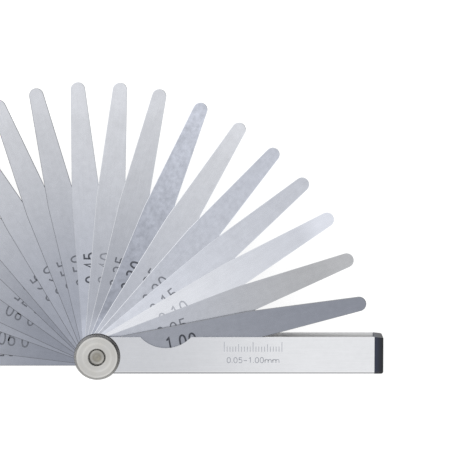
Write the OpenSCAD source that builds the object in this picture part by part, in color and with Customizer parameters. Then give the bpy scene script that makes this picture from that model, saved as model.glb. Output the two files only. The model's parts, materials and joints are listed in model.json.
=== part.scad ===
// Feeler gauge: twenty steel leaves from 0.05 to 1.00 mm, on one pivot in a folded steel case.
// It lies flat on its back with the leaves fanned open. All sizes are in millimetres.
// Z is the pivot axis and points at the lock nut, X runs along the case, and Y points out of
// the case's open side. The origin is on the pivot axis, on the flat end of the stud's head.

/* [Leaves] */
// Distance from the pivot to a leaf's tip
leaf_reach = 95; // [85:1:145]
// Width of a leaf along its parallel part
leaf_w = 10; // [9:0.5:11]
// Length of the parallel part, from the pivot to where the taper starts
leaf_parallel = 54; // [30:1:75]
// Radius of the rounded tip
tip_r = 2.5; // [1.5:0.25:3.5]
// Free space between neighbouring leaves
leaf_gap = 0.02; // [0.01:0.01:0.04]

/* [Case] */
// Thickness of the folded sheet
sheet_t = 0.8; // [0.6:0.1:1]
// Height of the side plates above the pivot axis
case_above = 6.6; // [6.2:0.1:8]
// Inner radius of the two folds
bend_r = 0.5; // [0.2:0.1:0.6]
// Free space between a folded leaf's edge and the web
web_room = 0.6; // [0.3:0.1:1]
// Free space past the tips of the folded leaves
tip_room = 1.1; // [0.5:0.1:2]

/* [Finger notch] */
// Distance from the pivot to the middle of the notch
notch_x = 23.7; // [20:0.1:40]
// Depth of the notch below the plates' top edge
notch_depth = 3.85; // [2:0.05:4.5]
// Radius of the notch's arc
notch_r = 12; // [9:0.5:16]

/* [Pivot stud] */
// Diameter of the shank and of its thread
stud_d = 5; // [4:0.1:5.4]
// Diameter of the flat head on the back
head_d = 11; // [9:0.5:12]
// Thickness of the head
head_t = 1.2; // [0.8:0.1:2]
// Width of the square neck that stops the stud turning in the case
neck_w = 6; // [5.6:0.1:6.6]
// Running clearance, on the radius, of the holes that turn on the stud
running_fit = 0.05; // [0.03:0.01:0.08]

/* [Lock nut] */
// Outer diameter, over the knurl
nut_d = 16; // [14:0.5:18]
// Thickness
nut_t = 3.5; // [3:0.25:5]
// Width and height of the bevel round the nut's front
nut_bevel = 0.9; // [0.5:0.1:1.4]
// Diameter of the recess round the stud's end
recess_d = 6; // [5.8:0.1:8]
// Depth of that recess
recess_depth = 1.5; // [0.5:0.1:2]

/* [End plug] */
// Thickness of the plug's head, outside the steel
plug_t = 3.1; // [2:0.1:5]
// Radius of the head's front and upper edges, at its outer end
plug_edge_r = 0.5; // [0.3:0.1:0.8]
// Radius of its back edge there
plug_back_r = 1.2; // [1:0.1:3]
// Radius of its lower corner there
plug_corner_r = 1; // [0.8:0.1:2.5]
// How far the head's top falls towards its outer end
plug_fall = 0.3; // [0.1:0.1:0.8]
// Length of the tongue that holds the plug between the plates
tongue_len = 8; // [4:0.5:12]
// Height of the tongue
tongue_h = 2; // [1.5:0.1:2.2]

/* [Hidden] */
$fn = 96;
cut = 1;  // how far a cutting shape runs past the face that it cuts
leaf_count = 20;
leaf_step = 0.05;  // thickness of the thinnest leaf, and the step from each size to the next

// Angle of each leaf from the case, front leaf first, as a hand opens the fan.
fan_deg = [11.25, 21, 30.75, 40, 49, 58, 67.25, 76.5, 85, 94,
           103, 111.5, 120.5, 130, 136, 144, 155, 160, 173, 180];

// The thickest leaf is at the front, and then they run from the thinnest up to the back.
function leaf_steps(i) = i == 0 ? leaf_count : i;
function leaf_t(i) = leaf_steps(i) * leaf_step;
function depth_behind(i) =
    i == leaf_count - 1 ? 0 : leaf_t(i + 1) + leaf_gap + depth_behind(i + 1);

// A leaf is named by the size that it gauges, so 5 hundredths of a millimetre is leaf_0_05.
function two_digits(n) = str(n < 10 ? "0" : "", n);
function leaf_name(i) =
    let (hundredths = round(leaf_t(i) * 100))
    str("leaf_", floor(hundredths / 100), "_", two_digits(hundredths % 100));

leaf_r = leaf_w / 2;
tip_x = leaf_reach - tip_r;
hole_r = stud_d / 2 + running_fit;

back_z = head_t;                             // outer face of the back plate
stack_z = back_z + sheet_t + leaf_gap;       // back face of the rearmost leaf
stack_top = stack_z + depth_behind(0) + leaf_t(0) + leaf_gap;
front_z = stack_top + sheet_t;               // outer face of the front plate

web_y = -leaf_r - web_room;                  // inner face of the web
case_low = web_y - sheet_t;
case_reach = leaf_reach + tip_room;
end_r = (case_above - case_low) / 2;         // round end of the plates, behind the nut

nut_gap = 0.08;                              // the nut is backed off a little, so leaves move
nut_z = front_z + nut_gap;
nut_top = nut_z + nut_t;
stud_bevel_w = 1;                            // width and height of the stud's bevelled end
stud_bevel_h = 0.35;
stud_top = nut_top - 0.4;                    // the stud ends just inside the nut's recess
neck_room = 0.05;                            // space round the neck in its square hole
head_bevel = 0.3;
nut_back_bevel = 0.4;

// A rectangle between two corners, with all four of its corners rounded.
module rounded_rect(low, high, r) {
    translate([low.x + r, low.y]) square([high.x - low.x - 2 * r, high.y - low.y]);
    translate([low.x, low.y + r]) square([high.x - low.x, high.y - low.y - 2 * r]);
    for (x = [low.x + r, high.x - r], y = [low.y + r, high.y - r])
        translate([x, y]) circle(r);
}

// Extrudes a drawing made in (Y, Z) along X, between two stations.
module along_x(from, to)
    translate([from, 0, 0]) rotate([90, 0, 90]) linear_extrude(to - from) children();

// Extrudes a drawing made in (X, Z) along Y, between two stations.
module along_y(from, to)
    translate([0, to, 0]) rotate([90, 0, 0]) linear_extrude(to - from) children();

// A bar's section in (Y, Z), rounded by the folds along its lower side and square above.
module folded_section(low, high, r) {
    rounded_rect(low, high, r);
    translate([low.x + r, low.y]) square([high.x - low.x - r, high.y - low.y]);
}

// Outline of the side plates: a straight bar with a round end about the pivot, and the notch.
module plate_outline() {
    difference() {
        union() {
            translate([0, case_above - end_r]) circle(end_r);
            translate([0, case_low]) square([case_reach, case_above - case_low]);
        }
        translate([notch_x, case_above - notch_depth + notch_r]) circle(notch_r);
    }
}

// One sheet folded into a channel, with a square hole for the stud's neck in its back plate
// and a round hole for the shank in its front plate.
module case() {
    color("lightgray") difference() {
        intersection() {
            translate([0, 0, back_z]) linear_extrude(front_z - back_z) plate_outline();
            along_x(-end_r - cut, case_reach + cut) difference() {
                folded_section([case_low, back_z], [case_above, front_z], bend_r + sheet_t);
                folded_section([web_y, back_z + sheet_t], [case_above + cut, stack_top], bend_r);
            }
        }
        translate([0, 0, back_z + sheet_t / 2])
            cube([neck_w + 2 * neck_room, neck_w + 2 * neck_room, sheet_t + cut], center = true);
        translate([0, 0, stack_top - cut]) cylinder(sheet_t + 2 * cut, r = hole_r);
    }
}

// A rectangle between two corners whose outer corners, at high.x, have two different radii.
module two_radius_rect(low, high, low_r, high_r) {
    middle = (low.y + high.y) / 2;
    rounded_rect(low, high, low_r);
    rounded_rect([low.x, middle - high_r], high, high_r);
}

// Moulded plug in the case's far end: a head that is rounded off at its outer end, and a tongue
// that is pressed in between the plates, below the leaves' tips.
module end_plug() {
    plug_x = case_reach + plug_t;
    start_x = case_reach - 2 * plug_back_r;  // where the head's drawings start, inside the steel
    color("#2b2b2d") {
        intersection() {
            along_x(case_reach, plug_x)
                folded_section([case_low, back_z], [case_above, front_z], bend_r + sheet_t);
            translate([0, 0, back_z - cut]) linear_extrude(front_z - back_z + 2 * cut) difference() {
                two_radius_rect([start_x, case_low], [plug_x, case_above], plug_corner_r, plug_edge_r);
                polygon([[case_reach, case_above], [plug_x, case_above - plug_fall],
                         [plug_x + cut, case_above - plug_fall], [plug_x + cut, case_above + cut],
                         [case_reach, case_above + cut]]);
            }
            along_y(case_low - cut, case_above + cut)
                two_radius_rect([start_x, back_z], [plug_x, front_z], plug_back_r, plug_edge_r);
        }
        along_x(case_reach - tongue_len, case_reach + plug_t / 2)
            folded_section([web_y, back_z + sheet_t], [web_y + tongue_h, stack_top], bend_r);
    }
}

// Flat-headed stud that everything turns on. The nut's thread is a plain shank here.
module pivot_stud() {
    stud_r = stud_d / 2;
    color("silver") {
        rotate_extrude() polygon([
            [0, 0], [head_d / 2 - head_bevel, 0], [head_d / 2, head_bevel], [head_d / 2, head_t],
            [stud_r, head_t], [stud_r, stud_top - stud_bevel_h],
            [stud_r - stud_bevel_w, stud_top], [0, stud_top]
        ]);
        translate([0, 0, head_t + sheet_t / 2]) cube([neck_w, neck_w, sheet_t], center = true);
    }
}

// Round thumb nut, bevelled at the front, with a recess round the end of the stud.
module lock_nut() {
    nut_r = nut_d / 2;
    recess_z = nut_top - recess_depth;
    color("gray") rotate_extrude() polygon([
        [hole_r, nut_z], [nut_r - nut_back_bevel, nut_z], [nut_r, nut_z + nut_back_bevel],
        [nut_r, nut_top - nut_bevel], [nut_r - nut_bevel, nut_top], [recess_d / 2, nut_top],
        [recess_d / 2, recess_z], [hole_r, recess_z]
    ]);
}

// Outline of a leaf along +X: parallel from its round root, then tapered to a round tip. The
// tapered edges run in at a tangent, sunk a hair so that they cross the tip's arc cleanly.
module leaf_outline() {
    sink = 0.005;
    taper_run = tip_x - leaf_parallel;
    taper_deg = atan(leaf_r / taper_run) - asin(tip_r / norm([taper_run, leaf_r]));
    meet = [tip_x, 0] + (tip_r - sink) * [sin(taper_deg), cos(taper_deg)];
    difference() {
        union() {
            circle(leaf_r);
            translate([0, -leaf_r]) square([leaf_parallel, leaf_w]);
            polygon([[leaf_parallel, -leaf_r], [meet.x, -meet.y], meet, [leaf_parallel, leaf_r]]);
            translate([tip_x, 0]) circle(tip_r);
        }
        circle(hole_r);
    }
}

// Leaf number i, counted from the front, turned to its place in the fan.
module leaf(i) {
    color(i == 0 ? "slategray" : "gainsboro")
        translate([0, 0, stack_z + depth_behind(i)])
            rotate(fan_deg[i]) linear_extrude(leaf_t(i)) leaf_outline();
}

case();
end_plug();
pivot_stud();
lock_nut();
for (i = [0:leaf_count - 1])
    leaf(i);
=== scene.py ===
import json
import math
from dataclasses import dataclass

import bmesh
import bpy
from mathutils import Matrix, Vector


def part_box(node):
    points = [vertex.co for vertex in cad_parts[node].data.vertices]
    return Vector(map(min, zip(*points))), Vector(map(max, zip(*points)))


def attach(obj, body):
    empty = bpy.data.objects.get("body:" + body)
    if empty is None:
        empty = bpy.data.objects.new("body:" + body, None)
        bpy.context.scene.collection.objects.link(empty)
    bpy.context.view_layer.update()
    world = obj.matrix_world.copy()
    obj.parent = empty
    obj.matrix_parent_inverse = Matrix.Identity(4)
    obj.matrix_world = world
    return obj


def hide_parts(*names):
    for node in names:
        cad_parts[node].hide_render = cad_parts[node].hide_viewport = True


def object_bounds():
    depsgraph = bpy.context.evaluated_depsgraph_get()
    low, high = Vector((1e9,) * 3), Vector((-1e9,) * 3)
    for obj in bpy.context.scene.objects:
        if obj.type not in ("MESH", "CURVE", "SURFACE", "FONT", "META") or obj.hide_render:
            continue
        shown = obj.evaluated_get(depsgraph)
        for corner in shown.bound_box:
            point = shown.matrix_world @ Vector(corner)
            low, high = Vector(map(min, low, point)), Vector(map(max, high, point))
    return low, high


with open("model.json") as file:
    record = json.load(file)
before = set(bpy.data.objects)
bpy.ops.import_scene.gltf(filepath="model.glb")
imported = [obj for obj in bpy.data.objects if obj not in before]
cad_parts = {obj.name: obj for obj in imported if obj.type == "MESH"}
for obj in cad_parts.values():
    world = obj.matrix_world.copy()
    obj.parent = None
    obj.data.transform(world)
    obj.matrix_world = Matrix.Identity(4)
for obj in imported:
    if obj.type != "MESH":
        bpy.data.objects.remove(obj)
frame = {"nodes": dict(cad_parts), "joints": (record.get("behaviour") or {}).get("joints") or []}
cad_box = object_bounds()

# The looks of a feeler gauge that lies on its back with its leaves fanned open. X runs along
# the case, Z is the pivot axis and points at the lock nut, and the origin is on that axis.
MM = 0.001
TOUCHING = 1e-7  # in metres: two places closer than this are the same

# ---------------------------------------------------------------------------------------------
# Shader nodes


def linear(tone):
    """The linear value of a tone as it looks on a screen, from 0, black, to 1, white."""
    return ((tone + 0.055) / 1.055) ** 2.4 if tone > 0.04045 else tone / 12.92


def grey(tone, cool=0.0):
    """A grey of that tone, tinted towards blue by cool, or towards brown if cool is negative."""
    return (linear(tone - 0.4 * cool), linear(tone - 0.14 * cool), linear(tone + 0.6 * cool), 1.0)


class Nodes:
    """Adds nodes to one shader tree. An input is a number, a colour or another node's output."""

    def __init__(self, tree):
        self.tree = tree
        tree.nodes.clear()

    def add(self, kind, inputs, output=0, **settings):
        """Adds a node with its settings and inputs, and gives back one of its outputs."""
        node = self.tree.nodes.new(kind)
        for name, value in settings.items():
            setattr(node, name, value)
        for key, value in inputs.items():
            if isinstance(value, bpy.types.NodeSocket):
                self.tree.links.new(value, node.inputs[key])
            else:
                node.inputs[key].default_value = value
        return node.outputs[output]

    def place(self, turned=0.0):
        """Coordinates on the piece, in metres, along axes turned about Z by that many radians."""
        own = self.add("ShaderNodeTexCoord", {}, output="Object")
        if not turned:
            return own
        inputs = {"Vector": own, "Angle": -turned}
        return self.add("ShaderNodeVectorRotate", inputs, rotation_type="Z_AXIS")

    def normal(self):
        return self.add("ShaderNodeNewGeometry", {}, output="Normal")

    def vector(self, operation, a, b=(0.0, 0.0, 0.0), output="Vector"):
        return self.add("ShaderNodeVectorMath", {0: a, 1: b}, output, operation=operation)

    def math(self, operation, a, b=0.0):
        return self.add("ShaderNodeMath", {0: a, 1: b}, operation=operation)

    def chain(self, operation, first, *others):
        for other in others:
            first = self.math(operation, first, other)
        return first

    def product(self, *values):
        return self.chain("MULTIPLY", *values)

    def total(self, *values):
        return self.chain("ADD", *values)

    def axis(self, vector, name):
        return self.add("ShaderNodeSeparateXYZ", {"Vector": vector}, output=name)

    def span(self, value, low, high, to_low=0.0, to_high=1.0):
        """Carries the span low to high smoothly over to another span, and holds it beyond."""
        ends = {"From Min": low, "From Max": high, "To Min": to_low, "To Max": to_high}
        return self.add(
            "ShaderNodeMapRange", {"Value": value, **ends}, interpolation_type="SMOOTHSTEP"
        )

    def noise(self, place, cell, detail=2.0):
        """Noise about 0.5, with patches about as wide as cell."""
        inputs = {"Vector": place, "Scale": 1 / cell, "Detail": detail}
        return self.add("ShaderNodeTexNoise", inputs)

    def blend(self, share, a, b):
        """Colour a where share is 0, and colour b where it is 1."""
        return self.add("ShaderNodeMix", {0: share, 6: a, 7: b}, output=2, data_type="RGBA")

    def varied(self, base, *parts):
        """base plus each (noise, strength) pair's share, where the noise swings about 0.5."""
        for noise, strength in parts:
            swing = self.math("SUBTRACT", noise, 0.5)
            base = self.total(base, self.product(swing, strength))
        return base

    def shaded(self, colour, shade):
        """A colour made lighter or darker by a number about 1."""
        return self.add("ShaderNodeVectorMath", {0: colour, "Scale": shade}, operation="SCALE")

    def edge(self):
        """0 on faces square to an axis of the piece, and 1 on the slanted faces of its edges."""
        normal = self.normal()
        squared = self.vector("MULTIPLY", normal, normal)
        squareness = self.vector("DOT_PRODUCT", squared, squared, output="Value")  # 1 if square
        return self.span(squareness, 0.995, 0.93)

    def bump(self, height, strength, depth):
        return self.add(
            "ShaderNodeBump", {"Height": height, "Strength": strength, "Distance": depth}
        )

    def surface(self, colour, roughness, normal, metallic, **fixed):
        """Ends the tree with the surface shader. The fixed values are the same all over."""
        inputs = {"Base Color": colour, "Roughness": roughness, "Normal": normal}
        inputs["Metallic"] = metallic
        shader = self.add("ShaderNodeBsdfPrincipled", {**inputs, **fixed})
        self.add_output("ShaderNodeOutputMaterial", shader)

    def add_output(self, kind, shader):
        out = self.tree.nodes.new(kind)
        self.tree.links.new(shader, out.inputs["Surface"])


def new_material(name):
    material = bpy.data.materials.new(name)
    material.use_nodes = True
    return material, Nodes(material.node_tree)


# ---------------------------------------------------------------------------------------------
# Materials


def leaf_steel(name, look, turned, shift):
    """Ground spring steel: cloudy, scratched finely along its length, with a deburred border whose
    colour is a painted highlight line on some leaves and a painted shadow line on others. It is
    also painted lighter close to the nut and over the tip, as painted light. shift moves the
    pattern, so that no two leaves have the same one."""
    material, nodes = new_material("leaf_steel_" + name)
    own = nodes.place(turned)
    along = nodes.axis(own, "X")
    place = nodes.vector("ADD", own, (shift, 0.3 * shift, 0.7 * shift))
    cloud = nodes.noise(place, 4 * MM, detail=3)
    fleck = nodes.noise(place, 1.6 * MM, detail=2.5)
    streak = nodes.noise(nodes.vector("MULTIPLY", place, (0.05, 1, 1)), 0.6 * MM, detail=3)
    toward_tip = nodes.span(along, 12 * MM, 90 * MM)
    colour = nodes.blend(toward_tip, grey(look.root, look.root_blue), grey(look.tip, look.tip_blue))
    shade = nodes.varied(1.0, (cloud, 0.12), (fleck, look.mottled), (streak, 0.10))
    # painted light close to the nut, and a painted glare over the tip
    painted_near_nut_light = nodes.span(along, 9 * MM, 16 * MM, 1.0 + look.painted_hub_light, 1.0)
    glow = nodes.span(along, 80 * MM, 90 * MM, 1.0, 1.0 + look.painted_tip_glare)
    colour = nodes.shaded(colour, nodes.product(shade, painted_near_nut_light, glow))
    upright = nodes.axis(nodes.normal(), "Z")
    flatness = nodes.product(upright, upright)  # 1 on the faces, and 0 on the upright sides
    off_face = nodes.span(flatness, 0.999, 0.985)
    off_side = nodes.span(flatness, 0.02, 0.2)
    # painted light: the border takes a light tone as a painted highlight line, or a dark tone as a
    # painted shadow line, as each look gives
    border = nodes.product(off_face, off_side, look.edge)
    colour = nodes.blend(border, colour, grey(look.painted_border_tone, 0.02))
    roughness = nodes.varied(0.26, (cloud, 0.10), (streak, 0.10))
    nodes.surface(colour, roughness, nodes.bump(streak, 0.15, 0.01 * MM), metallic=1.0)
    return material


def etched_mark(name, tone):
    """An etched mark: a matt grey, uneven where the acid took less."""
    material, nodes = new_material(name)
    patch = nodes.noise(nodes.place(), 0.5 * MM, detail=3)
    colour = nodes.blend(nodes.span(patch, 0.35, 0.7), grey(tone, 0.04), grey(tone + 0.08, 0.04))
    roughness = nodes.varied(0.6, (patch, 0.2))
    nodes.surface(colour, roughness, nodes.bump(patch, 0.2, 0.005 * MM), metallic=0.4)
    return material


def inside_of_case(nodes, place):
    """Where the case's faces look inwards, as 0 or 1, and the painted shade that darkens those
    faces deeper in the fold, with a little painted light near its open edge.
    """
    low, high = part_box("case")
    skin = 0.7 * MM  # a little less than the sheet's thickness
    across = nodes.axis(place, "Y")
    height = nodes.axis(place, "Z")
    inside = nodes.product(
        nodes.math("GREATER_THAN", height, low.z + skin),
        nodes.math("LESS_THAN", height, high.z - skin),
        nodes.math("GREATER_THAN", across, low.y + skin),
    )
    # painted shadow of the front plate's edge, darker deeper in the fold, and slightly lighter near
    # the open edge as painted light
    shade = nodes.span(across, high.y - 1.8 * MM, high.y - 0.2 * MM, 0.6, 1.06)
    return inside, shade


def case_steel():
    """Satin sheet steel, brushed along the case, lighter towards its far end, with its edges
    painted lighter, partly as wear and partly as a painted highlight, and dull inside under painted
    shade.
    """
    material, nodes = new_material("case_steel_satin")
    place = nodes.place()
    cloud = nodes.noise(place, 6 * MM, detail=3)
    fleck = nodes.noise(place, 1.5 * MM, detail=2)
    streak = nodes.noise(nodes.vector("MULTIPLY", place, (0.03, 1, 1)), 0.35 * MM, detail=4)
    toward_end = nodes.span(nodes.axis(place, "X"), 15 * MM, 75 * MM)
    colour = nodes.blend(toward_end, grey(0.80, 0.025), grey(0.90, 0.016))
    shade = nodes.varied(1.0, (cloud, 0.06), (fleck, 0.04), (streak, 0.08))
    colour = nodes.shaded(colour, shade)
    # edges painted lighter: partly wear, and partly a painted highlight on the bevels
    colour = nodes.blend(nodes.product(nodes.edge(), 0.3), colour, grey(0.84))
    inside, painted_inner_shade = inside_of_case(nodes, place)
    colour = nodes.blend(inside, colour, nodes.shaded(grey(0.97)[:3], painted_inner_shade))
    roughness = nodes.varied(0.26, (cloud, 0.08), (streak, 0.10), (inside, 0.3))
    metallic = nodes.math("SUBTRACT", 1.0, nodes.product(inside, 0.85))
    nodes.surface(colour, roughness, nodes.bump(streak, 0.2, 0.01 * MM), metallic)
    return material


LATHE_HIGHLIGHT_RING_R = 4.9 * MM  # a lathe ring painted lighter, as a painted highlight ring, runs at this radius


def turned_steel(name, tone, brown, ring_step, roughness=0.36, spread=0.7):
    """Steel turned on a lathe. Its rings about the pivot's axis spread each highlight outwards, and
    its colour is painted lighter in coarse rings, as painted highlight rings.
    """
    material, nodes = new_material(name)
    place = nodes.place()
    radius = nodes.vector("LENGTH", nodes.vector("MULTIPLY", place, (1, 1, 0)), output="Value")
    outward = nodes.add("ShaderNodeCombineXYZ", {"X": radius})
    fine = nodes.noise(outward, 0.25 * ring_step, detail=3)
    from_highlight_ring = nodes.math("SUBTRACT", radius, LATHE_HIGHLIGHT_RING_R)
    phase = nodes.product(from_highlight_ring, 2 * math.pi / ring_step)
    lathe_and_highlight_rings = nodes.span(nodes.math("COSINE", phase), -0.3, 1.0)
    cloud = nodes.noise(place, 2.5 * MM, detail=3)
    colour = nodes.blend(cloud, grey(tone, -brown), grey(tone))
    # the coarse rings are painted highlight rings; the fine rings and the cloud are the turned
    # finish
    colour = nodes.shaded(colour, nodes.varied(0.98, (fine, 0.20), (lathe_and_highlight_rings, 0.14), (cloud, 0.12)))
    roughness = nodes.varied(roughness, (fine, 0.15), (lathe_and_highlight_rings, 0.12), (cloud, 0.08))
    about = nodes.add("ShaderNodeTangent", {}, direction_type="RADIAL", axis="Z")
    nodes.surface(
        colour, roughness, nodes.bump(fine, 0.4, 0.02 * MM), metallic=1.0, Tangent=about,
        **{"Anisotropic": spread, "Anisotropic Rotation": 0.25},
    )
    return material


def grimy_and_shaded_steel(name, tone, dirt_tone, cell):
    """Steel with old oil and dirt in what is cut into it, such as a knurl or a thread. The low
    tones it is given in the nut's knurl and recess are partly painted shade.
    """
    material, nodes = new_material(name)
    patch = nodes.noise(nodes.place(), cell, detail=4)
    colour = nodes.blend(nodes.span(patch, 0.4, 0.62), grey(dirt_tone, -0.02), grey(tone, -0.02))
    roughness = nodes.varied(0.45, (patch, 0.25))
    nodes.surface(colour, roughness, nodes.bump(patch, 0.3, 0.02 * MM), metallic=0.9)
    return material


def moulded_plastic():
    """Black plastic from a mould: a fine satin grain, with painted shade darkening it towards its
    outer end, and rubbed a little paler on its edges.
    """
    material, nodes = new_material("plug_black_plastic")
    place = nodes.place()
    grain = nodes.noise(place, 0.25 * MM, detail=3)
    cloud = nodes.noise(place, 4 * MM, detail=2)
    low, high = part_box("end_plug")
    # painted shade: darker towards the outer end, where the face turns away from the light
    outward = nodes.span(nodes.axis(place, "X"), high.x - 3 * MM, high.x)
    colour = nodes.blend(outward, grey(0.16, 0.08), grey(0.07, 0.02))
    colour = nodes.shaded(colour, nodes.varied(1.0, (cloud, 0.4), (grain, 0.2)))
    rubbed = nodes.product(nodes.edge(), nodes.span(cloud, 0.3, 0.7, 0.1, 0.5))
    colour = nodes.blend(rubbed, colour, grey(0.22))
    roughness = nodes.varied(0.42, (grain, 0.15), (cloud, 0.10))
    bump = nodes.bump(grain, 0.3, 0.02 * MM)
    nodes.surface(colour, roughness, bump, 0.0, **{"Specular IOR Level": 0.35})
    return material


# ---------------------------------------------------------------------------------------------
# Mesh helpers


def mesh_object(name, shape, materials):
    """Makes an object from a bmesh, and gives it its materials."""
    mesh = bpy.data.meshes.new(name)
    shape.normal_update()
    shape.to_mesh(mesh)
    shape.free()
    made = bpy.data.objects.new(name, mesh)
    bpy.context.scene.collection.objects.link(made)
    for material in materials:
        mesh.materials.append(material)
    return made


def mesh_piece(name, shape, body, materials):
    """Makes a piece of the gauge from a bmesh, and lets it ride on a body."""
    piece = mesh_object(name, shape, materials)
    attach(piece, body)
    return piece


def arc(centre, radius, start_deg, end_deg, steps):
    """Points on an arc, both ends included."""
    points = []
    for i in range(steps + 1):
        turn = math.radians(start_deg + (end_deg - start_deg) * i / steps)
        points.append((centre[0] + radius * math.cos(turn), centre[1] + radius * math.sin(turn)))
    return points


def ring(mesh, points, z):
    return [mesh.verts.new((x, y, z)) for x, y in points]


def band(mesh, low, high):
    """Quads between two closed rings of as many points, the outside facing away from them."""
    for i in range(len(low)):
        j = (i + 1) % len(low)
        face = mesh.faces.new((low[i], low[j], high[j], high[i]))
        face.smooth = True


def sharpen(rings):
    """Keeps the shading crisp across the edges along these closed rings."""
    for points in rings:
        for i, point in enumerate(points):
            after = points[(i + 1) % len(points)]
            for edge in point.link_edges:
                if after in edge.verts:
                    edge.smooth = False


# ---------------------------------------------------------------------------------------------
# Lettering: digits drawn as strokes, in a cell one wide and one high

DIGIT_SQUARENESS = 2.3  # 2 gives true ovals, and more gives fuller corners
OVAL_STEP_DEG = 15
OVAL_LEAST_STEPS = 6
LEAST_MITRE = 0.5  # holds the mitre at a sharp corner to twice the stroke's width
DOT_WIDTH = 0.25  # the widths of the other characters, beside a digit's
LETTER_M_WIDTH = 1.7


def oval(x, y, half_w, half_h, start_deg, end_deg):
    """Points along part of a slightly squared oval, anticlockwise if the angle grows."""
    steps = max(OVAL_LEAST_STEPS, round(abs(end_deg - start_deg) / OVAL_STEP_DEG))
    power = 2 / DIGIT_SQUARENESS
    return [
        (
            x + half_w * math.copysign(abs(across) ** power, across),
            y + half_h * math.copysign(abs(up) ** power, up),
        )
        for across, up in arc((0, 0), 1, start_deg, end_deg, steps)
    ]


def half_turned(strokes):
    """The same strokes turned by half a turn about the cell's middle."""
    return [[(1 - x, 1 - y) for x, y in stroke] for stroke in strokes]


SIX = [oval(0.95, 0.32, 0.95, 0.68, 105, 180)[:-1] + oval(0.5, 0.32, 0.5, 0.32, 180, 540)]
GLYPHS = {
    "0": [oval(0.5, 0.5, 0.5, 0.5, 90, 450)],
    "1": [[(0.14, 0.82), (0.58, 1.0), (0.58, 0.0)]],
    "2": [oval(0.5, 0.73, 0.46, 0.27, 165, -20) + [(0.02, 0.0), (1.0, 0.0)]],
    "3": [oval(0.45, 0.76, 0.43, 0.24, 150, -85) + oval(0.45, 0.26, 0.52, 0.26, 85, -155)],
    "4": [[(1.0, 0.26), (0.0, 0.26), (0.80, 1.0), (0.80, 0.0)]],
    "5": [[(0.92, 1.0), (0.18, 1.0), (0.10, 0.57)] + oval(0.48, 0.32, 0.50, 0.32, 130, -150)],
    "6": SIX,
    "7": [[(0.0, 1.0), (1.0, 1.0), (0.35, 0.0)]],
    "8": [oval(0.5, 0.76, 0.42, 0.24, 90, 450), oval(0.5, 0.26, 0.5, 0.26, 90, 450)],
    "9": half_turned(SIX),
    ".": [[(0.5, 0.0), (0.5, 0.13)]],
    "-": [[(0.0, 0.42), (1.0, 0.42)]],
    "m": [
        [(0.0, 0.0), (0.0, 0.62)],
        oval(0.25, 0.37, 0.25, 0.25, 180, 0) + [(0.5, 0.0)],
        oval(0.75, 0.37, 0.25, 0.25, 180, 0) + [(1.0, 0.0)],
    ],
}


def stroke_solid(mesh, points, width, low, high, material=0):
    """A thin bar of one width along the points, closed into a ring if they end where they start."""
    closed = (Vector(points[0]) - Vector(points[-1])).length < TOUCHING
    path = [Vector(point) for point in (points[:-1] if closed else points)]
    sections = []
    for i, point in enumerate(path):
        before = path[i - 1] if i or closed else point
        after = path[(i + 1) % len(path)] if i < len(path) - 1 or closed else point
        into = (point - before).normalized() if before != point else (after - point).normalized()
        out = (after - point).normalized() if after != point else into
        across = Vector((-into.y - out.y, into.x + out.x)).normalized()
        reach = width / 2 / max(LEAST_MITRE, across.dot(Vector((-into.y, into.x))))
        left = point + across * reach
        right = point - across * reach
        sections.append([
            mesh.verts.new((*left, low)), mesh.verts.new((*right, low)),
            mesh.verts.new((*right, high)), mesh.verts.new((*left, high)),
        ])
    following = sections[1:] + sections[:1] if closed else sections[1:]
    for here, there in zip(sections, following):
        for j in range(4):
            k = (j + 1) % 4
            side = mesh.faces.new((here[j], here[k], there[k], there[j]))
            side.material_index = material
    if not closed:
        mesh.faces.new(sections[0][::-1]).material_index = material
        mesh.faces.new(sections[-1]).material_index = material


def glyph_width(letter, digit_w):
    return digit_w * {".": DOT_WIDTH, "m": LETTER_M_WIDTH}.get(letter, 1.0)


def text_length(text, digit_w, gap):
    return sum(glyph_width(letter, digit_w) for letter in text) + gap * (len(text) - 1)


def lettering(mesh, text, middle, height, digit_w, gap, stroke, low, high, material=0):
    """Writes text along +X with its middle there. Sizes are over the outsides of the strokes."""
    x = middle[0] - text_length(text, digit_w, gap) / 2
    y = middle[1] - height / 2
    for letter in text:
        width = glyph_width(letter, digit_w)
        inner_w = max(width - stroke, 0)
        inner_h = height - stroke
        for line in GLYPHS[letter]:
            points = [(x + stroke / 2 + u * inner_w, y + stroke / 2 + v * inner_h) for u, v in line]
            stroke_solid(mesh, points, stroke, low, high, material)
        x += width + gap


# ---------------------------------------------------------------------------------------------
# Leaves

rear_low, rear_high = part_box("leaf_0_95")  # this leaf lies straight along -X
LEAF_REACH = -rear_low.x
LEAF_WIDTH = rear_high.y - rear_low.y
LEAF_PARALLEL = 54 * MM  # from the pivot to where the taper starts
TIP_R = 2.5 * MM
PIVOT_HOLE_R = 2.55 * MM
EDGE_WIDTH = 0.16 * MM  # the deburred border round each face of a leaf
EDGE_DROP = 0.08 * MM  # how far that border falls on the thicker leaves
THIN_EDGE_SHARE = 0.3  # of a thinner leaf's thickness, for how far it falls there
ROOT_STEPS = 40
TIP_STEPS = 24
HOLE_STEPS = 64
PATTERN_STEP = 0.11  # metres from one leaf's piece of the steel's pattern to the next one's

MARK_RISE = 0.006 * MM  # how far an etched mark stands off its face
MARK_SINK = MARK_RISE / 2  # and how far its foot goes into the steel
SIZE_X = 30.4 * MM  # the usual place of the middle of the size etched on a leaf
SIZE_HEIGHT = 5 * MM
SIZE_DIGIT_W = 2.7 * MM
SIZE_GAP = 0.7 * MM


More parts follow.
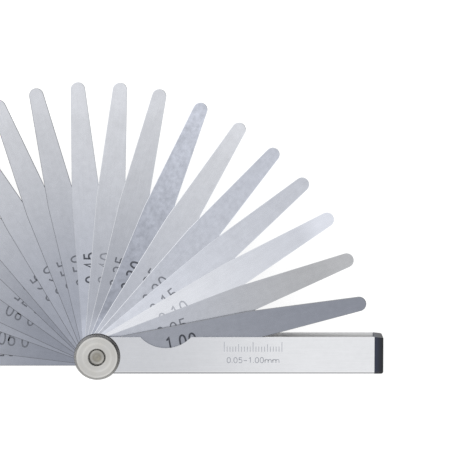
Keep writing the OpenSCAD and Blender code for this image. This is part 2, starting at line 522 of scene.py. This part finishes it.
@dataclass
class LeafLook:
    """One leaf's steel and its etched size. Tones run from 0, black, to 1, white."""

    root: float = 0.66  # the steel's tone at the root, and then at the tip
    tip: float = 0.81
    root_blue: float = 0.05  # its tint at the root, and then at the tip
    tip_blue: float = 0.03
    painted_hub_light: float = 0.0  # painted light: how much lighter it gets close to the nut, and then as a painted glare over the tip
    painted_tip_glare: float = 0.08
    mottled: float = 0.15  # strength of the flecks
    edge: float = 0.15  # share of the border's painted highlight or painted shadow tone
    # the border's painted tone: light for a painted highlight, dark for a painted shadow
    painted_border_tone: float = 0.97
    mark: float = 0.34  # the etching's tone
    stroke: float = 0.55  # width of its lines, in millimetres
    along: float = -0.3  # how far the size is off its usual place, in millimetres
    across: float = -0.8


def hidden_look(root):
    """The look of a leaf of which little more than the root shows, with a painted shadow along its
    edge.
    """
    return LeafLook(root, root_blue=0.06, edge=0.8, painted_border_tone=0.42)


LEAF_LOOKS = {
    "1.00": LeafLook(
        0.615, 0.57, tip_blue=0.055, painted_tip_glare=0, edge=1, painted_border_tone=0.55, mark=0.2, stroke=0.65,
        along=-1, across=-0.9,
    ),
    "0.05": LeafLook(0.745, 0.70, tip_blue=0.015, mark=0.38, stroke=0.5, along=-2.8, across=-0.9),
    "0.10": LeafLook(
        0.90, 0.82, 0.03, 0.045, painted_tip_glare=0.2, mottled=0.05, mark=0.58, stroke=0.5, along=0,
        across=-1,
    ),
    "0.15": LeafLook(0.85, 0.785, tip_blue=0.045, painted_tip_glare=0, mark=0.45, along=-0.6),
    "0.20": LeafLook(
        0.755, 0.78, tip_blue=0.055, painted_tip_glare=0, mottled=0.3, edge=0.6, mark=0.40, along=0,
    ),
    "0.25": LeafLook(0.73, 0.83, painted_hub_light=0.15, edge=0.6, mark=0.36, along=0.2, across=-1.9),
    "0.30": LeafLook(
        0.635, 0.785, 0.06, 0.06, painted_hub_light=0.35, mottled=0.6, edge=0.6, mark=0.24, stroke=0.65,
        along=-0.5, across=-0.6,
    ),
    "0.35": LeafLook(0.66, 0.81, painted_hub_light=0.25, edge=0.5, along=-0.6, across=-0.7),
    "0.40": LeafLook(0.69, 0.835, painted_hub_light=0.15, edge=0.5, mark=0.44, along=-0.1, across=-0.3),
    "0.45": LeafLook(0.715, 0.83, 0.06, painted_hub_light=0.18, mark=0.24, stroke=0.6, along=0, across=0),
    "0.50": LeafLook(0.65, 0.80, 0.06, painted_hub_light=0.1, edge=0.6, painted_border_tone=0.42),
    # The rear leaves' darker root tones are partly painted shade from the nut beside them.
    "0.55": hidden_look(0.635),
    "0.60": hidden_look(0.65),
    "0.65": hidden_look(0.63),
    "0.70": hidden_look(0.57),
    "0.75": hidden_look(0.60),
    "0.80": hidden_look(0.57),
    "0.85": hidden_look(0.60),
    "0.90": hidden_look(0.56),
    "0.95": hidden_look(0.59),
}


def leaf_ring(inset):
    """A leaf's outline along +X, anticlockwise from above the pivot, moved in by inset."""
    half_w = LEAF_WIDTH / 2
    tip_x = LEAF_REACH - TIP_R
    run = tip_x - LEAF_PARALLEL
    slope = math.degrees(math.atan2(half_w, run) - math.asin(TIP_R / math.hypot(run, half_w)))
    root = arc((0, 0), half_w - inset, 90, 270, ROOT_STEPS)
    tip = arc((tip_x, 0), TIP_R - inset, slope - 90, 90 - slope, TIP_STEPS)
    corner_x = LEAF_PARALLEL - inset * math.tan(math.radians(slope) / 2)
    return root + [(corner_x, inset - half_w)] + tip + [(corner_x, half_w - inset)]


def fill_face(mesh, rim, bore, facing_up):
    """Closes the flat face between a leaf's rim and its pivot hole."""
    edges = [
        mesh.edges.get((points[i], points[(i + 1) % len(points)]))
        for points in (rim, bore)
        for i in range(len(points))
    ]
    filled = bmesh.ops.triangle_fill(mesh, edges=edges, use_beauty=True, use_dissolve=False)
    for face in filled["geom"]:
        if isinstance(face, bmesh.types.BMFace):
            face.normal_update()
            if (face.normal.z > 0) != facing_up:
                face.normal_flip()


def leaf_mesh(thick):
    """A leaf along +X with slightly rounded edges and its pivot hole, from z = 0 up."""
    mesh = bmesh.new()
    drop = min(EDGE_DROP, THIN_EDGE_SHARE * thick)
    outline = leaf_ring(0)
    border = leaf_ring(EDGE_WIDTH)
    hole = arc((0, 0), PIVOT_HOLE_R, 0, 360, HOLE_STEPS)[:-1]
    levels = [
        ring(mesh, border, 0), ring(mesh, outline, drop),
        ring(mesh, outline, thick - drop), ring(mesh, border, thick),
    ]
    for low, high in zip(levels, levels[1:]):
        band(mesh, low, high)
    bores = [ring(mesh, hole, 0), ring(mesh, hole, thick)]
    band(mesh, bores[1], bores[0])
    fill_face(mesh, levels[0], bores[0], facing_up=False)
    fill_face(mesh, levels[-1], bores[1], facing_up=True)
    sharpen([*levels, *bores])
    return mesh


def add_leaf(name, turn, order):
    """One leaf with its size etched near the root, in place of its CAD node."""
    size = name.removeprefix("leaf_").replace("_", ".")
    look = LEAF_LOOKS[size]
    low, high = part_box(name)
    thick = high.z - low.z
    mesh = leaf_mesh(thick)
    lettering(
        mesh, size, middle=(SIZE_X + look.along * MM, look.across * MM), height=SIZE_HEIGHT,
        digit_w=SIZE_DIGIT_W, gap=SIZE_GAP, stroke=look.stroke * MM,
        low=thick - MARK_SINK, high=thick + MARK_RISE, material=1,
    )
    bmesh.ops.rotate(mesh, matrix=Matrix.Rotation(turn, 3, "Z"), verts=mesh.verts)
    bmesh.ops.translate(mesh, vec=(0, 0, low.z), verts=mesh.verts)
    steel = leaf_steel(name, look, turn, shift=order * PATTERN_STEP)
    mark = etched_mark("mark_" + name, look.mark)
    blade_name = name.replace("leaf", "blade")
    piece = mesh_piece(blade_name, mesh, name, [steel, mark])
    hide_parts(name)


# ---------------------------------------------------------------------------------------------
# Turned pieces


def revolve(profile, segments, closed, paints, carve):
    """Turns (radius, z) points about Z. paints has one material number for each band between
    them, first to last. carve gives each point that is off the axis its own radius."""
    mesh = bmesh.new()
    rows = []
    for r, z in profile:
        if r == 0:
            rows.append([mesh.verts.new((0, 0, z))])
            continue
        row = []
        for i in range(segments):
            angle = 2 * math.pi * i / segments
            own_r = carve(r, z, angle)
            row.append(mesh.verts.new((own_r * math.cos(angle), own_r * math.sin(angle), z)))
        rows.append(row)
    pairs = list(zip(rows, rows[1:])) + ([(rows[-1], rows[0])] if closed else [])
    for paint_number, (a, b) in zip(paints, pairs, strict=True):
        for i in range(segments):
            j = (i + 1) % segments
            corners = [a[i % len(a)], a[j % len(a)], b[j % len(b)], b[i % len(b)]]
            face = mesh.faces.new(list(dict.fromkeys(corners)))  # a triangle at a row of one
            face.smooth = True
            face.material_index = paint_number
    bmesh.ops.recalc_face_normals(mesh, faces=mesh.faces)
    return mesh


def stations(low, high, count):
    """Evenly spaced values, both ends included."""
    return [low + (high - low) * i / count for i in range(count + 1)]


SHARP_ANGLE = math.radians(32)  # a turned piece's shading breaks at edges sharper than this
KNURL_COUNT = 90
KNURL_DEPTH = 0.16 * MM
KNURL_LEAN = 2.2  # radians round the nut's rim for each radius that a groove climbs
KNURL_STEEPNESS = 1.6  # 1 leaves sharp ridges between the grooves, and more leaves flat lands
STEPS_PER_GROOVE = 8
RIM_STEPS = 14


def nut_mesh():
    """The nut's turned shape, with its bands painted in add_lock_nut's materials."""
    low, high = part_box("lock_nut")
    nut_r = high.y
    bevel = 0.9 * MM
    back_bevel = 0.4 * MM
    recess_r = 3 * MM
    recess_z = high.z - 1.5 * MM
    lip = 0.15 * MM

    def knurl(r, z, angle):
        if r < nut_r - TOUCHING:
            return r
        climb = KNURL_LEAN * (z - low.z) / nut_r
        deep = 0.0
        for lean in (climb, -climb):
            turns = KNURL_COUNT * (angle + lean) / (2 * math.pi) % 1.0
            deep = max(deep, 1 - abs(2 * turns - 1) * KNURL_STEEPNESS)
        return r - KNURL_DEPTH * deep

    rim = [(nut_r, z) for z in stations(low.z + back_bevel, high.z - bevel, RIM_STEPS)]
    profile = [
        (PIVOT_HOLE_R, low.z), (nut_r - back_bevel, low.z), *rim,
        (nut_r - bevel, high.z), (recess_r + lip, high.z), (recess_r, high.z - lip),
        (recess_r, recess_z + lip), (recess_r - lip, recess_z), (PIVOT_HOLE_R, recess_z),
    ]
    face, knurled, bevelled, dirt_and_shade = range(4)
    paints = [face, *[knurled] * len(rim), bevelled, face, face, bevelled, dirt_and_shade, dirt_and_shade, face]
    return revolve(profile, KNURL_COUNT * STEPS_PER_GROOVE, True, paints, knurl)


def add_lock_nut():
    """The thumb nut, with a crossed knurl round its rim and a recess round the stud's end."""
    materials = [
        turned_steel("nut_turned_steel", 0.79, 0.03, ring_step=2 * MM),
        # the knurl's and the recess's low tones are partly painted shade, on top of dirt
        grimy_and_shaded_steel("nut_knurl_shaded_steel", 0.38, 0.20, cell=0.5 * MM),
        # a darker copy of the nut's turned steel: part of its darkness is painted shade
        turned_steel("nut_bevel_shaded_steel", 0.70, 0.03, 1.5 * MM, roughness=0.24, spread=0.0),
        grimy_and_shaded_steel("nut_recess_dirty_shaded_steel", 0.50, 0.32, cell=0.5 * MM),
    ]
    piece = mesh_piece("thumb_nut", nut_mesh(), "lock_nut", materials)
    piece.data.set_sharp_from_angle(angle=SHARP_ANGLE)
    piece.visible_glossy = False  # or its reflection blackens the leaves beside it
    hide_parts("lock_nut")


THREAD_PITCH = 0.8 * MM
THREAD_DEPTH = 0.35 * MM
THREAD_ROWS = 24
STUD_STEPS = 96


def stud_mesh():
    """The stud's turned shape, with its bands painted in add_stud's materials. The thread
    starts at the case's front plate, and the shank is plain below it."""
    low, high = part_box("pivot_stud")
    case_low, case_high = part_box("case")
    head_r = high.x
    shank_r = 2.5 * MM
    bevel_w = 1.0 * MM
    bevel_h = 0.35 * MM
    runout = 0.05 * MM  # how much narrower the bevel's foot is than the thread's crests
    rounding = 0.3 * MM

    def thread(r, z, angle):
        if abs(r - shank_r) > TOUCHING or z < case_high.z:
            return r
        turns = (z / THREAD_PITCH - angle / (2 * math.pi)) % 1.0
        return r - THREAD_DEPTH * abs(2 * turns - 1)

    threaded = [(shank_r, z) for z in stations(case_high.z, high.z - 2 * bevel_h, THREAD_ROWS)]
    crown = [(shank_r - runout, high.z - bevel_h), (shank_r - bevel_w, high.z)]
    profile = [
        (0, low.z), (head_r - rounding, low.z), (head_r, low.z + rounding),
        (head_r, case_low.z), (shank_r, case_low.z), *threaded, *crown, (0, high.z),
    ]
    turned, grimy, bevelled = range(3)
    paints = [*[turned] * 4, *[grimy] * (len(threaded) + 1), bevelled, turned]
    return revolve(profile, STUD_STEPS, False, paints, thread)


def neck_mesh():
    """The square neck that stops the stud turning, from its head up to the rearmost leaf."""
    neck_w = 6 * MM
    rounding = 0.1 * MM
    start_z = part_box("case")[0].z
    neck_t = rear_low.z - start_z
    mesh = bmesh.new()
    bmesh.ops.create_cube(mesh, size=1.0)
    bmesh.ops.scale(mesh, vec=(neck_w, neck_w, neck_t), verts=mesh.verts)
    bmesh.ops.translate(mesh, vec=(0, 0, start_z + neck_t / 2), verts=mesh.verts)
    bmesh.ops.bevel(mesh, geom=mesh.edges, offset=rounding, segments=2, affect="EDGES")
    return mesh


def add_stud():
    """The flat-headed stud, with its square neck and the thread that the nut runs on."""
    steel = turned_steel("stud_turned_steel", 0.575, 0.09, ring_step=1.4 * MM)
    materials = [
        steel,
        grimy_and_shaded_steel("stud_thread_steel", 0.40, 0.20, cell=0.4 * MM),
        # a lighter copy of the stud's turned steel: part of its brightness is a painted highlight
        turned_steel("stud_bevel_highlight_steel", 0.62, 0.05, 1.4 * MM, roughness=0.2, spread=0.0),
    ]
    piece = mesh_piece("threaded_stud", stud_mesh(), "case", materials)
    piece.data.set_sharp_from_angle(angle=SHARP_ANGLE)
    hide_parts("pivot_stud")
    mesh_piece("stud_neck", neck_mesh(), "case", [steel])


# ---------------------------------------------------------------------------------------------
# Case and plug


def soften(node_name, width):
    """Rounds a CAD node's sharp edges a little, so that they catch the light."""
    node = frame["nodes"][node_name]
    weld = node.modifiers.new("weld", "WELD")
    weld.merge_threshold = 0.0005 * MM
    flatten = node.modifiers.new("flatten", "DECIMATE")
    flatten.decimate_type = "DISSOLVE"
    flatten.angle_limit = math.radians(0.5)
    bevel = node.modifiers.new("bevel", "BEVEL")
    bevel.width = width
    bevel.segments = 2
    bevel.limit_method = "ANGLE"
    bevel.angle_limit = math.radians(40)
    node.modifiers.new("normals", "WEIGHTED_NORMAL")


def paint(node_name, material):
    frame["nodes"][node_name].material_slots[0].material = material


CASE_MARKS_X = 54.0 * MM  # the middle of the marks on the case
CASE_TEXT_Y = -1.45 * MM
TICK_COUNT = 20
TICK_STEP = 1 * MM
TICK_BASE_Y = 1.5 * MM
TICK_STROKE = 0.2 * MM


def tick_height(i):
    """Every tenth tick is long, and every fifth one between them is of a middle length."""
    if i % 10 == 0:
        return 3.4 * MM
    return 2.6 * MM if i % 5 == 0 else 1.8 * MM


def add_case_marks():
    """A plain scale of ticks and the range of sizes, etched on the case's front plate."""
    face_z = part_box("case")[1].z
    low = face_z - MARK_SINK
    high = face_z + MARK_RISE
    mesh = bmesh.new()
    lettering(
        mesh, "0.05-1.00mm", middle=(CASE_MARKS_X, CASE_TEXT_Y), height=2.1 * MM,
        digit_w=1.42 * MM, gap=0.28 * MM, stroke=0.26 * MM, low=low, high=high,
    )
    start_x = CASE_MARKS_X - TICK_STEP * TICK_COUNT / 2
    for i in range(TICK_COUNT + 1):
        x = start_x + i * TICK_STEP
        tick = [(x, TICK_BASE_Y), (x, TICK_BASE_Y + tick_height(i))]
        stroke_solid(mesh, tick, TICK_STROKE, low, high)
    mesh_piece("case_marks", mesh, "case", [etched_mark("case_mark", 0.54)])


# ---------------------------------------------------------------------------------------------
# Floor, light and camera


def add_floor():
    """A pale floor that glows a little, like a light table, so that shadows stay faint."""
    half_size = 20.0  # in metres, so that its edges are far away
    gap = 0.05 * MM  # under the stud's head, so that the two don't touch
    material, nodes = new_material("floor_paper")
    fibre = nodes.noise(nodes.place(), 2 * MM)
    colour = nodes.blend(fibre, grey(0.50), grey(0.52))
    nodes.surface(
        colour, 0.9, nodes.bump(fibre, 0.05, 0.02 * MM), 0.0,
        **{"Emission Color": (1, 1, 1, 1), "Emission Strength": 0.88, "Specular IOR Level": 0.0},
    )
    shape = bmesh.new()
    bmesh.ops.create_grid(shape, x_segments=1, y_segments=1, size=half_size)
    floor = mesh_object("floor", shape, [material])
    floor.location.z = cad_box[0].z - gap
    floor.visible_glossy = False


def level_way(turn_deg):
    """The level direction at that angle from +X."""
    return (math.cos(math.radians(turn_deg)), math.sin(math.radians(turn_deg)), 0.0)


WALL_DEG = 130  # where the left wall of light is, from +X; the right wall faces it
FLAG_DEG = 28


def light_world():
    """A soft sky and a pale table below it, with a wall of light on the left, a weaker one
    facing it, and a dark flag on the right. The camera sees plain white."""
    world = bpy.data.worlds.new("soft_studio")
    world.use_nodes = True
    bpy.context.scene.world = world
    nodes = Nodes(world.node_tree)
    toward = nodes.add("ShaderNodeTexCoord", {}, output="Generated")
    height = nodes.axis(toward, "Z")
    toward_wall = nodes.vector("DOT_PRODUCT", toward, level_way(WALL_DEG), output="Value")
    toward_flag = nodes.vector("DOT_PRODUCT", toward, level_way(FLAG_DEG), output="Value")
    sky = nodes.span(height, 0.1, 0.85, 0.35, 1.0)
    table = nodes.span(height, -0.2, -0.4, 0.0, 0.5)
    left_wall = nodes.product(
        nodes.span(toward_wall, 0.3, 0.95, 0.0, 0.6), nodes.span(height, -0.3, 0.0)
    )
    right_wall = nodes.product(
        nodes.span(toward_wall, -0.3, -0.9, 0.0, 0.5), nodes.span(height, 0.2, 0.4)
    )
    past_flag = nodes.span(toward_flag, 0.35, 0.95, 1.0, 0.2)
    light = nodes.product(nodes.total(sky, table, left_wall, right_wall), past_flag)
    glow = nodes.add("ShaderNodeCombineXYZ", {0: light, 1: light, 2: light})
    seen = nodes.add("ShaderNodeLightPath", {}, output="Is Camera Ray")
    shader = nodes.add("ShaderNodeBackground", {"Color": nodes.blend(seen, glow, (1, 1, 1, 1))})
    nodes.add_output("ShaderNodeOutputWorld", shader)


def add_key_light():
    """One large softbox on the left, beyond the open side of the case, turned to the pivot."""
    data = bpy.data.lights.new("softbox", "AREA")
    data.shape = "RECTANGLE"
    data.size = 0.5
    data.size_y = 0.4
    data.energy = 12.0  # in watts
    light = bpy.data.objects.new("softbox", data)
    light.location = (-0.60, 0.50, 0.52)
    light.rotation_mode = "QUATERNION"
    light.rotation_quaternion = light.location.to_track_quat("Z", "Y")
    light.visible_camera = False
    light.visible_glossy = False
    bpy.context.scene.collection.objects.link(light)


def add_camera():
    """Looks almost straight down, from the side that the leaves open to."""
    data = bpy.data.cameras.new("camera")
    data.lens = 202
    data.sensor_width = 36
    camera = bpy.data.objects.new("camera", data)
    target = Vector((46, 43.3, 7.5)) * MM
    tilt = math.radians(5.64)
    distance = 897 * MM
    camera.location = target + distance * Vector((0, math.sin(tilt), math.cos(tilt)))
    camera.rotation_euler = (-tilt, 0, 0)
    bpy.context.scene.collection.objects.link(camera)
    bpy.context.scene.camera = camera


# ---------------------------------------------------------------------------------------------
# The whole scene

leaf_joints = [joint for joint in frame["joints"] if joint["child"].startswith("leaf_")]
for order, joint in enumerate(leaf_joints):
    folded_deg = joint["range_deg"][0]  # how far it swings from here to lie along the case
    add_leaf(joint["child"], math.radians(-folded_deg), order)

add_lock_nut()
add_stud()
add_case_marks()
paint("case", case_steel())
paint("end_plug", moulded_plastic())
soften("case", width=0.12 * MM)
soften("end_plug", width=0.15 * MM)

add_floor()
light_world()
add_key_light()
add_camera()
bpy.context.scene.view_settings.view_transform = "Standard"
